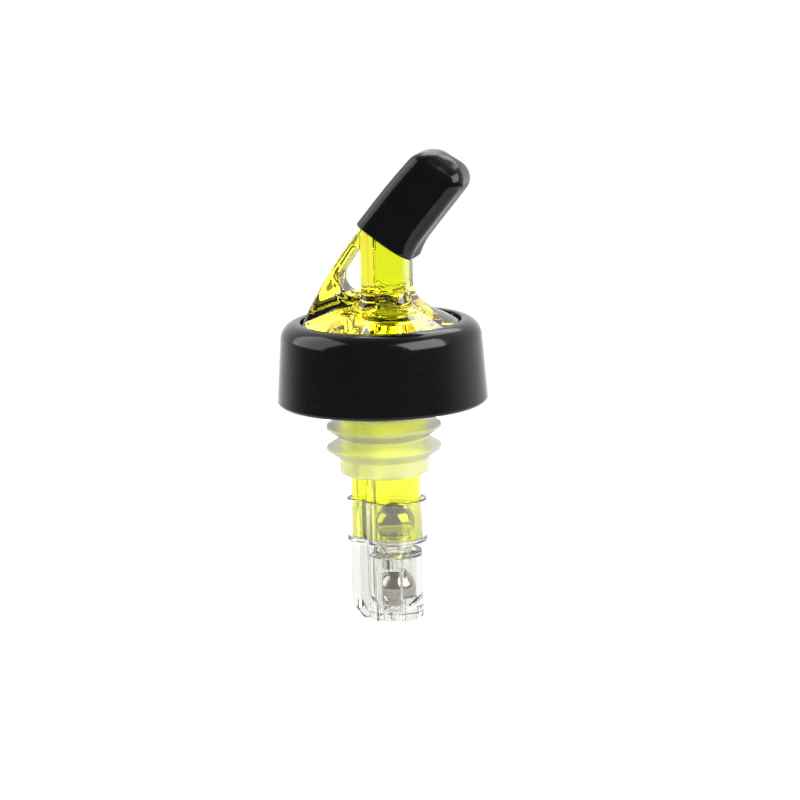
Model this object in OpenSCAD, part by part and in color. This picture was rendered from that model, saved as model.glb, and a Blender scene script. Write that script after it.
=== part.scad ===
// Measured liquor pourer: a stopper that lets one fixed portion out of a bottle.
// Millimetres. Z is up along the cork, X points the way the spout leans.
// Z = 0 is the plane where the bottle's lip meets the stopper's flange.

/* [Balls] */
// Diameter of both steel balls, 5/16 inch
ball_d = 7.94; // [7.5:0.01:8.0]

/* [Chamber tube] */
// Bore that the cut-off ball runs in
chamber_bore_d = 9; // [8.6:0.1:9.4]
// Wall around that bore
chamber_wall = 1.05; // [0.9:0.05:1.3]
// How far the bore stands off the cork's centre, towards the spout
chamber_shift = 1.75; // [1.5:0.05:1.8]
// How far the tube reaches below the bottle's lip
chamber_drop = 39.4; // [36:0.1:44]
// How far the tube reaches up into the head's socket, above the lip
chamber_rise = 4; // [3.8:0.1:4.4]
// Breather bore beside the chamber
air_bore_d = 2.2; // [1.6:0.1:2.4]
// Wall around the breather bore
air_wall = 1.3; // [1.2:0.1:1.5]
// How far the breather stands off the cork's centre, away from the spout
air_shift = 4.65; // [4.6:0.05:4.9]

/* [Cork] */
// Plain sleeve between and below the fins
cork_d = 18.2; // [18:0.1:19]
// Over the fins
fin_d = 23.1; // [22:0.1:25]
// Number of sealing fins
fin_count = 4; // [3:1:4]
// Distance from one fin to the next
fin_pitch = 4.3; // [4:0.1:4.6]
// Thickness of a fin at its root
fin_root = 3.8; // [2.4:0.1:3.9]
// Roundness of a fin's edge
fin_tip_r = 0.6; // [0.3:0.05:0.7]
// How far the lowest fin is below the lip
fin_drop = 20.8; // [19:0.1:21.2]
// How far the cork reaches below the lip
cork_drop = 26.1; // [25.6:0.1:29]
// Lead-in at the cork's lower end
cork_lead = 1; // [0.8:0.1:1.2]
// Flange that rests on the bottle's lip
flange_d = 28.8; // [28:0.1:31]
// Thickness of that flange
flange_t = 1.2; // [1:0.1:1.6]
// Boss above the flange, which fills the collar's floor
boss_d = 26.4; // [25.4:0.1:26.8]

/* [Collar] */
// Outside of the skirt at its lower edge
collar_d = 42.1; // [41:0.1:46]
// Outside of the skirt under the shoulder
collar_top_d = 39.7; // [39:0.1:40.5]
// How far the skirt hangs below the lip
skirt_drop = 11.5; // [9:0.1:14]
// Roundness of the shoulder
shoulder_r = 3.5; // [2.5:0.1:3.6]
// Thickness of the skirt
collar_wall = 2.2; // [1.8:0.1:2.6]
// Thickness of the floor that the head stands on
web_t = 1.6; // [1.2:0.1:2]
// How deep the head sits in the collar
recess = 2.2; // [1.8:0.1:2.4]
// Roundness of the skirt's lower edge
skirt_edge_r = 0.5; // [0.3:0.1:0.8]

/* [Pour head] */
// Foot of the head
dome_d = 31.5; // [30:0.1:31.8]
// Upright edge of the foot
rim_t = 1.6; // [1.2:0.1:2]
// Where the foot's cone meets the crown
crown_d = 18.2; // [18:0.1:20]
// Height of the cone
crown_h = 3.3; // [3:0.1:3.8]
// Width of the stem in the direction the spout leans
stem_w = 8.9; // [8.6:0.1:9.2]
// Depth of the stem from front to back
stem_depth = 10; // [9:0.1:10.4]
// Roundness of the stem's corners
stem_round = 2; // [1.5:0.1:2.4]
// How far the stem stands off the cork's centre, towards the spout
stem_shift = 1.6; // [1.5:0.05:1.8]
// Hollow curve between the stem and the foot
flare_r = 4.8; // [4:0.1:5]
// Where the spout's centre line leaves the stem, from the cork's centre
spout_x = 1.95; // [1.8:0.05:2.1]
// Where the spout's centre line leaves the stem, above the lip
spout_z = 21.6; // [20.5:0.1:24]
// Lean of the spout from upright
spout_tilt = 40; // [36:1:42]
// Slant of the shoulder that the cap meets
mouth_slant = 10; // [6:1:12]
// Width of the spout in the direction it leans
spout_w = 10; // [9.4:0.1:10.2]
// Depth of the spout from front to back
spout_depth = 9.6; // [9:0.1:9.8]
// Length of the spout beyond the shoulder
spout_len = 17.5; // [14:0.1:22]
// Pour passage, in the direction the spout leans
passage_w = 5.4; // [4.8:0.1:5.6]
// Pour passage, front to back
passage_depth = 3.9; // [3.2:0.1:4]
// Passage's centre beyond the spout's centre line
passage_shift = 0.25; // [0.1:0.05:0.35]
// Round throat that the cut-off ball closes
throat_d = 5.2; // [4.6:0.1:5.4]
// Length of that throat
throat_len = 5.1; // [4.6:0.1:5.4]

/* [Strap] */
// Depth of the strap from front to back
strap_w = 7.4; // [6:0.1:8.4]
// Thickness of the strap
strap_t = 1.6; // [1.4:0.1:2]
// Where the strap's foot stands, from the cork's centre
strap_foot = 15.2; // [14.4:0.1:15.3]
// Bulge of the strap's outer line
strap_sag = 0.4; // [0.3:0.05:0.8]
// How far the cap stands out beyond the strap
strap_inset = 0.95; // [0.8:0.05:1.1]
// Lower edge of the window under the strap, above the foot's crown
window_rise = 2.6; // [2.3:0.1:3.1]
// Roundness of the window's lower corner
window_round = 3; // [2:0.1:3.2]
// Roundness of the window's upper corner
window_top_r = 0.8; // [0.5:0.1:1]

/* [Spout cap] */
// Thickness of the cap
cap_wall = 0.9; // [0.7:0.05:1.2]
// Looseness of the cap on the spout
cap_gap = 0.12; // [0.08:0.01:0.3]
// Thickness of the cap's end
cap_end = 1.4; // [1.3:0.1:2]
// Roundness of the cap's corners
cap_round = 2.8; // [2.4:0.1:3.2]
// Rise of the middle of the cap's end over its corners
cap_crown = 1.2; // [0.6:0.1:1.6]
// How much each side of the cap draws in towards its end
cap_taper = 0.3; // [0.1:0.05:0.4]

/* [Control cage] */
// Wall of the sleeve that grips the chamber tube
sleeve_wall = 0.95; // [0.7:0.05:1.1]
// Length of tube inside the sleeve
sleeve_grip = 8.1; // [6:0.1:10]
// Ledge under the tube's end
ledge_t = 0.7; // [0.6:0.1:1]
// Height of the inlet gap below the ledge
inlet_h = 1.9; // [1.7:0.1:2.4]
// How far the inlet gap reaches past the cork's centre, away from the spout
inlet_reach = 2.2; // [1.5:0.1:2.4]
// Outside of the cup
cup_d = 10.8; // [10.6:0.1:11.2]
// Bore of the cup around the control ball
cup_bore_d = 8.2; // [8.1:0.05:8.4]
// Height of the cup
cup_h = 13.8; // [12.6:0.1:16]
// Breather leg beside the cup
leg_r = 2.8; // [2.5:0.1:2.9]
// Slanted cut at the leg's foot, across
bevel_w = 3; // [2:0.1:3.4]
// Slanted cut at the leg's foot, upwards
bevel_h = 3.4; // [2:0.1:4]
// Flat-sided way past the control ball, across
flow_w = 4.2; // [3.8:0.1:4.3]
// How far that way stands out beyond the cup's bore, in front and behind
flow_out = 0.08; // [0.06:0.01:0.14]
// Drain hole in the cup's floor
drain_d = 2.4; // [1.6:0.1:2.6]
// Length of the drain hole
drain_len = 1.5; // [1.2:0.1:2]
// Half the distance between the two ribs on each flat
rib_half = 2.7; // [2.4:0.1:2.8]
// Width of a rib
rib_w = 0.6; // [0.4:0.1:0.8]
// How far a rib stands out from the flat
rib_h = 0.45; // [0.3:0.05:0.6]
// Plain band above the ribs
rib_free = 3.2; // [2.6:0.1:4]

/* [Metering seat] */
// Thickness of the seat's disc
seat_t = 1; // [0.8:0.1:1.4]
// Ledge that the disc lies on
seat_ledge = 0.6; // [0.4:0.1:0.7]
// Hole through the seat
seat_bore_d = 4.4; // [3.6:0.1:4.6]
// Outside of the raised ring under the cut-off ball
seat_ring_d = 6.3; // [6.2:0.1:6.8]
// How far that ring reaches up into the tube
seat_ring_rise = 1.1; // [0.8:0.1:1.4]
// Bleed hole that frees the control ball
bleed_d = 0.8; // [0.5:0.1:0.9]

/* [Clearances] */
// Between pieces that are pushed together
fit_gap = 0.05; // [0.02:0.01:0.1]
// Between the head's foot and the collar's mouth
mouth_gap = 0.35; // [0.25:0.05:0.5]
// Under a ball at rest
rest_gap = 0.02; // [0.01:0.01:0.05]

/* [Hidden] */
$fn = 96;

// Allowances of the construction: a cut's run-out, a hidden overlap and a larger one, a half space
eps = 0.5;
lap = 0.1;
sink = 1;
far = 60;
// Small fixed steps: room past the spout's end and under the cap's lip
cap_room = 0.3;
lip_gap = 0.15;
// Flare's dip under the crown and its run-out there, root of the spout in the stem
flare_dip = 0.5;
flare_out = 0.3;
spout_root = 1.2;
// Raised middle of the cap's end, as a share of the whole end
crown_share = 0.5;
passage_lap = 0.05;
// Narrow edges left on the collar's mouth and on the seat's ring
mouth_ease = 0.2;
seat_ring_edge = 0.2;
// Height of the way past the ball above the drain
flow_step = 0.2;

ball_r = ball_d / 2;
chamber_r = chamber_bore_d / 2 + chamber_wall;
air_r = air_bore_d / 2 + air_wall;
tube_end = -chamber_drop;

// Levels of the stack above the lip
web_low = flange_t;
web_top = web_low + web_t;
collar_top = web_top + recess;
rim_top = web_top + rim_t;
crown_top = rim_top + crown_h;
socket_top = chamber_rise;

// Ball touching a cone of 45 degrees: centre beyond the cone's apex
cone_reach = ball_r * sqrt(2);

// Outlet seat in the head
throat_r = throat_d / 2;
outlet_apex = socket_top + chamber_bore_d / 2;
throat_low = outlet_apex - throat_r;
throat_top = throat_low + throat_len;

// Spout and cap, with the spout's own directions in the X-Z plane
passage_lean_w = passage_w / cos(spout_tilt);
passage_lean_shift = passage_shift / cos(spout_tilt);
spout_at = [spout_x, spout_z];
spout_dir = [sin(spout_tilt), cos(spout_tilt)];
under_dir = [cos(spout_tilt), -sin(spout_tilt)];
cap_w = spout_w + 2 * (cap_gap + cap_wall);
cap_depth = spout_depth + 2 * (cap_gap + cap_wall);
shoulder_tilt = spout_tilt - mouth_slant;

// Flare: its curve runs out on the crown, and a little under it
flare_rise = flare_r - flare_dip;
flare_top = crown_top + flare_rise;
flare_w = flare_r - sqrt(flare_r * flare_r - flare_rise * flare_rise) + flare_out;

// Strap: a circle through its foot and the back of the cap's mouth
stem_back = stem_shift - stem_w / 2;
window_low = crown_top + window_rise;
strap_a = [-strap_foot, rim_top];
strap_b = spout_at - (cap_w / 2 - strap_inset) * (under_dir + tan(mouth_slant) * spout_dir);
strap_mid = (strap_a + strap_b) / 2;
strap_half = norm(strap_b - strap_a) / 2;
strap_dir = (strap_b - strap_a) / (2 * strap_half);
strap_r = (strap_half * strap_half + strap_sag * strap_sag) / (2 * strap_sag);
strap_centre = strap_mid + [strap_dir[1], -strap_dir[0]] * (strap_r - strap_sag);
shoulder_z = spout_z + (spout_x - stem_shift) * tan(shoulder_tilt);

// Window between the strap and the stem: inside curve and two corner circles that touch it
inner_r = strap_r - strap_t;
low_c = [strap_centre[0] - sqrt(pow(inner_r - window_round, 2)
    - pow(window_low + window_round - strap_centre[1], 2)), window_low + window_round];
top_c = [stem_back - window_top_r, strap_centre[1] + sqrt(pow(inner_r - window_top_r, 2)
    - pow(stem_back - window_top_r - strap_centre[0], 2))];
low_a = atan2(low_c[1] - strap_centre[1], low_c[0] - strap_centre[0]);
top_a = atan2(top_c[1] - strap_centre[1], top_c[0] - strap_centre[0]);

// Cage
cup_r = cup_d / 2;
cup_bore_r = cup_bore_d / 2;
ledge_low = tube_end - ledge_t;
cup_top = ledge_low - inlet_h;
cup_low = cup_top - cup_h;
cup_flat = sqrt(cup_r * cup_r - rib_half * rib_half);
drain_top = cup_low + drain_len;
drain_apex = drain_top - drain_d / 2;
control_z = drain_apex + cone_reach + rest_gap;

// Metering seat
seat_bore_r = seat_bore_d / 2;
seat_r = cup_bore_r + seat_ledge - fit_gap;
seat_low = cup_top - seat_t;
seat_lip = seat_ring_d / 2 - seat_bore_r - seat_ring_edge;
seat_ring_top = tube_end + seat_ring_rise;
seat_apex = seat_ring_top - seat_lip - seat_bore_r;
cutoff_z = seat_apex + cone_reach + rest_gap;

module rounded(w, d, r) {
    square([w - 2 * r, d], center = true);
    square([w, d - 2 * r], center = true);
    for (sx = [-1, 1])
        for (sy = [-1, 1])
            translate([sx * (w / 2 - r), sy * (d / 2 - r)])
                circle(r = r);
}

// Points of an arc from angle a to angle b, from step k on
function arc_points(x, y, r, a, b, n, k = 0) =
    [for (i = [k : n]) [x + r * cos(a + (b - a) * i / n), y + r * sin(a + (b - a) * i / n)]];

// Outline of the chamber with its breather, grown by g
module tube_outline(g) {
    translate([chamber_shift, 0])
        circle(r = chamber_r + g);
    translate([-air_shift, 0])
        circle(r = air_r + g);
}

module along_spout() {
    translate([spout_x, 0, spout_z])
        rotate([0, spout_tilt, 0])
            children();
}

// Everything on one side of the slanted shoulder, lifted by h
module beyond_shoulder(h, side) {
    along_spout()
        rotate([0, -mouth_slant, 0])
            translate([-far / 2, -far / 2, side > 0 ? h : h - far])
                cube([far, far, far]);
}

module spout_cap() {
    inner_end = spout_len + cap_room;
    low = -cap_w * tan(mouth_slant);
    ball_z = inner_end + cap_end - cap_round;
    corner = [cap_w / 2 - cap_round - cap_taper, cap_depth / 2 - cap_round - cap_taper];
    color([0.06, 0.06, 0.06])
        difference() {
            along_spout()
                hull() {
                    translate([0, 0, low])
                        linear_extrude(eps)
                            rounded(cap_w, cap_depth, cap_round, $fn = 32);
                    for (share = [1, crown_share])
                        for (sx = [-1, 1])
                            for (sy = [-1, 1])
                                translate([sx * share * corner[0], sy * share * corner[1],
                                    ball_z + (share < 1 ? cap_crown : 0)])
                                    sphere(r = cap_round, $fn = 32);
                }
            along_spout()
                translate([0, 0, low - eps])
                    linear_extrude(inner_end - low + eps)
                        rounded(spout_w + 2 * cap_gap, spout_depth + 2 * cap_gap, stem_round + cap_gap);
            beyond_shoulder(lip_gap, -1);
        }
}

// Foot of the head: a low cone with an upright edge
module head_foot() {
    rotate_extrude()
        polygon([[0, web_top], [dome_d / 2, web_top], [dome_d / 2, rim_top],
            [crown_d / 2, crown_top], [0, crown_top]]);
}

// Hollow curve from the foot up to the stem, r out from the centre of its turn
module flare_profile(r) {
    difference() {
        translate([0, crown_top - sink])
            square([r + flare_w, flare_rise + sink]);
        translate([r + flare_r, flare_top])
            circle(r = flare_r);
    }
}

module head_flare() {
    w = stem_w - 2 * stem_round;
    d = stem_depth - 2 * stem_round;
    translate([stem_shift, 0, 0]) {
        for (a = [0, 180])
            rotate([0, 0, a]) {
                rotate([90, 0, 0])
                    linear_extrude(d, center = true)
                        flare_profile(stem_w / 2);
                rotate([90, 0, 90])
                    linear_extrude(w, center = true)
                        flare_profile(stem_depth / 2);
                translate([w / 2, d / 2, 0])
                    rotate_extrude(angle = 90)
                        flare_profile(stem_round);
                translate([-w / 2, d / 2, 0])
                    rotate([0, 0, 90])
                        rotate_extrude(angle = 90)
                            flare_profile(stem_round);
            }
    }
}

module head_stem() {
    difference() {
        translate([stem_shift, 0, crown_top - sink])
            linear_extrude(spout_z)
                rounded(stem_w, stem_depth, stem_round);
        beyond_shoulder(0, 1);
    }
    along_spout()
        translate([0, 0, -spout_root])
            linear_extrude(spout_len + spout_root)
                rounded(spout_w, spout_depth, stem_round);
}

module strap_outline() {
    difference() {
        intersection() {
            translate(strap_centre)
                circle(r = strap_r);
            polygon([strap_a - [sink, 0], strap_b + [-strap_t, sink], strap_b, [stem_shift, shoulder_z],
                [stem_shift, crown_top - sink], strap_a + [sink, -rim_t / 3], strap_a]);
        }
        polygon(concat(arc_points(top_c[0], top_c[1], window_top_r, 0, top_a, 6),
            arc_points(strap_centre[0], strap_centre[1], inner_r, top_a, low_a, 10, 1),
            arc_points(low_c[0], low_c[1], window_round, low_a, 270, 6, 1),
            [[stem_back, window_low]]));
    }
}

module pour_head() {
    color([0.95, 0.92, 0.2])
        difference() {
            union() {
                head_foot();
                head_flare();
                head_stem();
                rotate([90, 0, 0])
                    linear_extrude(strap_w, center = true)
                        strap_outline();
            }
            // socket for the chamber tube
            translate([0, 0, web_top - eps])
                linear_extrude(socket_top - web_top + eps)
                    tube_outline(fit_gap);
            // seat that the cut-off ball closes, and its throat
            translate([chamber_shift, 0, socket_top - lap])
                cylinder(r1 = chamber_bore_d / 2 + lap, r2 = throat_r, h = throat_low - socket_top + lap);
            translate([chamber_shift, 0, throat_low - lap])
                cylinder(r = throat_r, h = throat_len + 2 * lap);
            // pour passage up the stem and along the spout
            difference() {
                translate([spout_x + passage_shift, 0, throat_top])
                    linear_extrude(spout_z)
                        square([passage_w, passage_depth], center = true);
                along_spout()
                    translate([-far / 2, -far / 2, passage_lap])
                        cube([far, far, far]);
            }
            along_spout()
                translate([passage_lean_shift, 0, 0])
                    linear_extrude(spout_len + eps)
                        square([passage_lean_w, passage_depth], center = true);
            // breather, open at the foot of the window
            translate([-air_shift, 0, socket_top - eps])
                cylinder(d = air_bore_d, h = window_low - socket_top + sink + eps);
        }
}

module collar() {
    rb = collar_d / 2;
    rs = collar_top_d / 2;
    mouth_r = dome_d / 2 + mouth_gap;
    round_r = min(shoulder_r, rs - mouth_r - mouth_ease);
    bore_r = boss_d / 2 + fit_gap;
    color([0.05, 0.05, 0.05])
        rotate_extrude()
            polygon(concat([[bore_r, web_low], [bore_r, web_top], [mouth_r, web_top],
                [mouth_r, collar_top - mouth_ease]],
                arc_points(rs - round_r, collar_top - round_r, round_r, 90, 0, 14),
                arc_points(rb - skirt_edge_r, skirt_edge_r - skirt_drop, skirt_edge_r, 0, -90, 5),
                [[rb - collar_wall, -skirt_drop], [rs - collar_wall, web_low]]));
}

module cork() {
    rc = cork_d / 2;
    rf = fin_d / 2;
    lead_w = cork_lead * 1.15;
    fins = [for (i = [fin_count - 1 : -1 : 0])
        let (z = i * fin_pitch - fin_drop)
        each concat([[rc, z + fin_root / 2]],
            arc_points(rf - fin_tip_r, z, fin_tip_r, 60, -60, 6),
            [[rc, z - fin_root / 2]])];
    color([0.9, 0.91, 0.88])
        difference() {
            rotate_extrude()
                polygon(concat([[0, web_top], [boss_d / 2, web_top], [boss_d / 2, flange_t],
                    [flange_d / 2, flange_t], [flange_d / 2, 0], [rc, 0]], fins,
                    [[rc, cork_lead - cork_drop], [rc - lead_w * 0.35, 0.35 * cork_lead - cork_drop],
                    [rc - lead_w, -cork_drop], [0, -cork_drop]]));
            translate([0, 0, -cork_drop - eps])
                linear_extrude(cork_drop + web_top + 2 * eps)
                    tube_outline(fit_gap);
        }
}

module chamber_tube() {
    length = chamber_drop + chamber_rise;
    color([0.93, 0.95, 0.25])
        translate([0, 0, tube_end])
            difference() {
                linear_extrude(length)
                    tube_outline(0);
                translate([chamber_shift, 0, -eps])
                    cylinder(d = chamber_bore_d, h = length + 2 * eps);
                translate([-air_shift, 0, -eps])
                    cylinder(d = air_bore_d, h = length + 2 * eps);
            }
}

// Sleeve, cup with a flat on two sides, breather leg and ribs, before they are hollowed
module cage_body() {
    translate([0, 0, ledge_low])
        linear_extrude(sleeve_grip + ledge_t)
            tube_outline(fit_gap + sleeve_wall);
    difference() {
        translate([chamber_shift, 0, cup_low])
            cylinder(r = cup_r, h = ledge_low + ledge_t / 2 - cup_low);
        for (sy = [-1, 1])
            translate([chamber_shift - cup_r, sy * (cup_flat + cup_r / 2) - cup_r / 2, cup_low - eps])
                cube([2 * cup_r, cup_r, cup_h - rib_free + eps]);
    }
    translate([-air_shift, 0, cup_low])
        cylinder(r = leg_r, h = ledge_low + ledge_t / 2 - cup_low);
    for (sx = [-1, 1])
        translate([chamber_shift + sx * rib_half - rib_w / 2, -cup_flat - rib_h, cup_low])
            cube([rib_w, 2 * (cup_flat + rib_h), cup_h - rib_free]);
}

// Hollow of the cup: drain, floor, ball bore, seat recess and the way up to the tube
module cage_hollow() {
    translate([chamber_shift, 0, 0])
        rotate_extrude()
            polygon([[0, cup_low - eps], [drain_d / 2, cup_low - eps], [drain_d / 2, drain_top],
                [cup_bore_r, drain_apex + cup_bore_r], [cup_bore_r, seat_low],
                [cup_bore_r + seat_ledge, seat_low], [cup_bore_r + seat_ledge, cup_top + eps],
                [chamber_bore_d / 2, cup_top + eps], [chamber_bore_d / 2, tube_end + eps], [0, tube_end + eps]]);
}

module control_cage() {
    color([0.86, 0.88, 0.86])
        difference() {
            cage_body();
            cage_hollow();
            // way past the ball, in front of it and behind it
            translate([chamber_shift - flow_w / 2, -cup_bore_r - flow_out, drain_top + flow_step])
                cube([flow_w, 2 * (cup_bore_r + flow_out), seat_low + lap - drain_top - flow_step]);
            // room for the chamber tube
            translate([0, 0, tube_end])
                linear_extrude(sleeve_grip + eps)
                    tube_outline(fit_gap);
            // breather
            translate([-air_shift, 0, cup_low - eps])
                cylinder(d = air_bore_d, h = tube_end - cup_low + 2 * eps);
            // inlet gap on every side but the breather's
            translate([-inlet_reach, -far / 2, cup_top])
                cube([far, far, inlet_h]);
            // slanted foot of the breather leg
            rotate([90, 0, 0])
                linear_extrude(far, center = true)
                    translate([-air_shift - leg_r, cup_low])
                        polygon([[-sink, -sink], [bevel_w + sink * bevel_w / bevel_h, -sink],
                            [-sink, bevel_h + sink * bevel_h / bevel_w]]);
        }
}

module metering_seat() {
    color([0.8, 0.83, 0.82])
        translate([chamber_shift, 0, 0])
            difference() {
                union() {
                    translate([0, 0, seat_low])
                        cylinder(r = seat_r, h = seat_t);
                    translate([0, 0, seat_low])
                        cylinder(d = seat_ring_d, h = seat_ring_top - seat_low);
                }
                translate([0, 0, seat_low - eps])
                    cylinder(r = seat_bore_r, h = seat_ring_top - seat_low + 2 * eps);
                translate([0, 0, seat_ring_top - seat_lip])
                    cylinder(r1 = seat_bore_r, r2 = seat_bore_r + seat_lip + eps, h = seat_lip + eps);
                translate([0, cup_bore_r - bleed_d / 2 - lap, seat_low - eps])
                    cylinder(d = bleed_d, h = seat_t + 2 * eps);
            }
}

module cutoff_ball() {
    color([0.75, 0.76, 0.78])
        translate([chamber_shift, 0, cutoff_z])
            sphere(r = ball_r);
}

module control_ball() {
    color([0.75, 0.76, 0.78])
        translate([chamber_shift, 0, control_z])
            sphere(r = ball_r);
}

spout_cap();
pour_head();
collar();
cork();
chamber_tube();
control_cage();
metering_seat();
cutoff_ball();
control_ball();
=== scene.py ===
import math

import bpy
from mathutils import Matrix, Vector, noise


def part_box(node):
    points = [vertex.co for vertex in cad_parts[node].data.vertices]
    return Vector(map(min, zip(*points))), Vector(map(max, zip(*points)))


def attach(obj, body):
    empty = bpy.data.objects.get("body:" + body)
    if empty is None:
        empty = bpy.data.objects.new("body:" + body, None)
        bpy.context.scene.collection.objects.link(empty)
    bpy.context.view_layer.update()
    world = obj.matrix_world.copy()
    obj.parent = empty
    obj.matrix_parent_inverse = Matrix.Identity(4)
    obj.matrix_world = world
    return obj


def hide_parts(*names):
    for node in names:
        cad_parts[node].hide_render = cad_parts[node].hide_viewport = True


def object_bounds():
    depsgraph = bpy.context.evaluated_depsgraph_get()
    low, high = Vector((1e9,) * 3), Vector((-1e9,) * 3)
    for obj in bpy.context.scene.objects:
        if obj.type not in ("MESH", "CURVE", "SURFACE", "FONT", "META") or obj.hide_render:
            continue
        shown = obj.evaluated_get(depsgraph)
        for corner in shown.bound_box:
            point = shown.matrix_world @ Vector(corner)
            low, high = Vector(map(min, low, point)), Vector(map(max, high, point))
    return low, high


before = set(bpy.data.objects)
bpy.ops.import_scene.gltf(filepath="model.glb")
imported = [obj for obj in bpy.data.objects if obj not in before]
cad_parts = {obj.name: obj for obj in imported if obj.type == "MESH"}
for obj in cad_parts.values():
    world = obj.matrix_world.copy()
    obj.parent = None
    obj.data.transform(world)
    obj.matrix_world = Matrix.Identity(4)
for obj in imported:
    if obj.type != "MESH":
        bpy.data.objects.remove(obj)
cad_low, cad_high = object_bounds()


# Chamber tube: a long clear yellow moulding, the ball chamber with a slim breather grown onto its side.
# It is pushed up into the head and carries the cork around it and the clear cage at its lower end.
mm = 0.001
tube_low, tube_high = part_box("chamber_tube")
chamber_r = tube_high.y
chamber_x = tube_high.x - chamber_r
chamber_bore_r = 4.5 * mm
breather_r = 2.4 * mm
breather_x = tube_low.x + breather_r
breather_bore_r = 1.1 * mm
tube_rim = 0.18 * mm
round_steps = 144
sharp_angle = math.radians(30)
# how far a cutter passes the face that it cuts
run_out = 0.5 * mm


def rod(name, x, r, low, high, r_high=None, y=0.0):
    """A round bar along Z between two levels, or a cone if its upper radius differs."""
    bpy.ops.object.select_all(action="DESELECT")
    bpy.ops.mesh.primitive_cone_add(
        vertices=round_steps, radius1=r, radius2=r if r_high is None else r_high, depth=high - low,
        location=(x, y, (low + high) / 2))
    bpy.ops.object.transform_apply(location=True)
    bpy.context.object.name = name
    return bpy.context.object


def change_solid(piece, other, operation):
    """Joins another solid to the piece, or cuts it away, and uses it up."""
    change = piece.modifiers.new(operation, "BOOLEAN")
    change.operation = operation
    change.solver = "EXACT"
    change.object = other
    bpy.context.view_layer.objects.active = piece
    bpy.ops.object.modifier_apply(modifier=change.name)
    bpy.data.objects.remove(other)


def tube_shape(name, grow, low, high):
    """The outline of chamber and breather, grown all round, between two levels."""
    shape = rod(name, chamber_x, chamber_r + grow, low, high)
    change_solid(shape, rod(name + "_side", breather_x, breather_r + grow, low, high), "UNION")
    return shape


def pick(piece):
    """Selects one piece alone and makes it the active one."""
    bpy.ops.object.select_all(action="DESELECT")
    piece.select_set(True)
    bpy.context.view_layer.objects.active = piece


def ease_edges(piece, width):
    """Rounds the sharp edges of a piece."""
    pick(piece)
    bpy.ops.object.mode_set(mode="EDIT")
    # a ring face becomes triangles first, because the bevel would close its hole
    bpy.ops.mesh.select_mode(type="FACE")
    bpy.ops.mesh.select_face_by_sides(number=4, type="GREATER", extend=False)
    bpy.ops.mesh.quads_convert_to_tris(ngon_method="BEAUTY")
    bpy.ops.mesh.select_mode(type="EDGE")
    bpy.ops.mesh.select_all(action="DESELECT")
    bpy.ops.mesh.edges_select_sharp(sharpness=sharp_angle)
    bpy.ops.mesh.bevel(offset=width, segments=3, affect="EDGES")
    bpy.ops.object.mode_set(mode="OBJECT")


def shade_round(piece):
    """Shades a piece smooth, apart from its sharp edges."""
    pick(piece)
    bpy.ops.object.shade_smooth_by_angle(angle=sharp_angle)


def linear(hex_colour):
    """Linear RGBA of an sRGB colour written as six hex digits."""
    shares = [int(hex_colour[i:i + 2], 16) / 255 for i in (0, 2, 4)]
    return [c / 12.92 if c <= 0.04045 else ((c + 0.055) / 1.055) ** 2.4 for c in shares] + [1.0]


def add_node(tree, kind, inputs, **settings):
    """Adds a node, makes its settings, then sets or links its inputs."""
    node = tree.nodes.new(kind)
    for name, value in settings.items():
        setattr(node, name, value)
    for name, value in inputs.items():
        if isinstance(value, bpy.types.NodeSocket):
            tree.links.new(value, node.inputs[name])
        else:
            node.inputs[name].default_value = value
    return node


def blank_material(name):
    """A new material that has no nodes yet, and its node tree."""
    material = bpy.data.materials.new(name)
    material.use_nodes = True
    material.node_tree.nodes.clear()
    return material, material.node_tree


def clear_plastic(name, dye, depth_dye, density, ior, wave_size, wave_depth, gloss):
    """Clear moulded plastic: polished, a little uneven from the mould, dyed through, and faintly rubbed."""
    material, tree = blank_material(name)
    rub_size = 2.5 * mm
    place = add_node(tree, "ShaderNodeTexCoord", {})
    wave = add_node(tree, "ShaderNodeTexNoise", {
        "Vector": place.outputs["Object"], "Scale": 1 / wave_size, "Detail": 1.0})
    rub = add_node(tree, "ShaderNodeTexNoise", {
        "Vector": place.outputs["Object"], "Scale": 1 / rub_size, "Detail": 4.0})
    rough = add_node(tree, "ShaderNodeMapRange", {
        "Value": rub.outputs["Fac"], "From Min": 0.35, "From Max": 0.7,
        "To Min": gloss * 0.6, "To Max": gloss * 1.6})
    uneven = add_node(tree, "ShaderNodeBump", {
        "Height": wave.outputs["Fac"], "Strength": 1.0, "Distance": wave_depth})
    surface = add_node(tree, "ShaderNodeBsdfPrincipled", {
        "Base Color": linear(dye), "Roughness": rough.outputs["Result"], "IOR": ior,
        "Transmission Weight": 1.0, "Normal": uneven.outputs["Normal"]})
    depth = add_node(tree, "ShaderNodeVolumeAbsorption", {"Color": linear(depth_dye), "Density": density})
    add_node(tree, "ShaderNodeOutputMaterial", {
        "Surface": surface.outputs["BSDF"], "Volume": depth.outputs["Volume"]})
    return material


def finish_piece(piece, material, slot, body, *nodes):
    """Gives a piece its material and its place in the frame."""
    piece.data.materials.clear()
    piece.data.materials.append(material)
    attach(piece, body)
    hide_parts(*nodes)


tube = tube_shape("yellow_tube", 0, tube_low.z, tube_high.z)
for bore_x, bore_r in ((chamber_x, chamber_bore_r), (breather_x, breather_bore_r)):
    bore = rod("tube_bore", bore_x, bore_r, tube_low.z - run_out, tube_high.z + run_out)
    change_solid(tube, bore, "DIFFERENCE")
ease_edges(tube, tube_rim)
shade_round(tube)

# Clear yellow polycarbonate: lemon in a thin wall, and deeper where the eye looks along the wall.
tube_plastic = clear_plastic(
    "tube_polycarbonate", dye="FBFF48", depth_dye="FFFC80", density=100, ior=1.57,
    wave_size=9 * mm, wave_depth=0.004 * mm, gloss=0.03)
finish_piece(tube, tube_plastic, "yellow_tube", "pourer", "chamber_tube")


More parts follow.
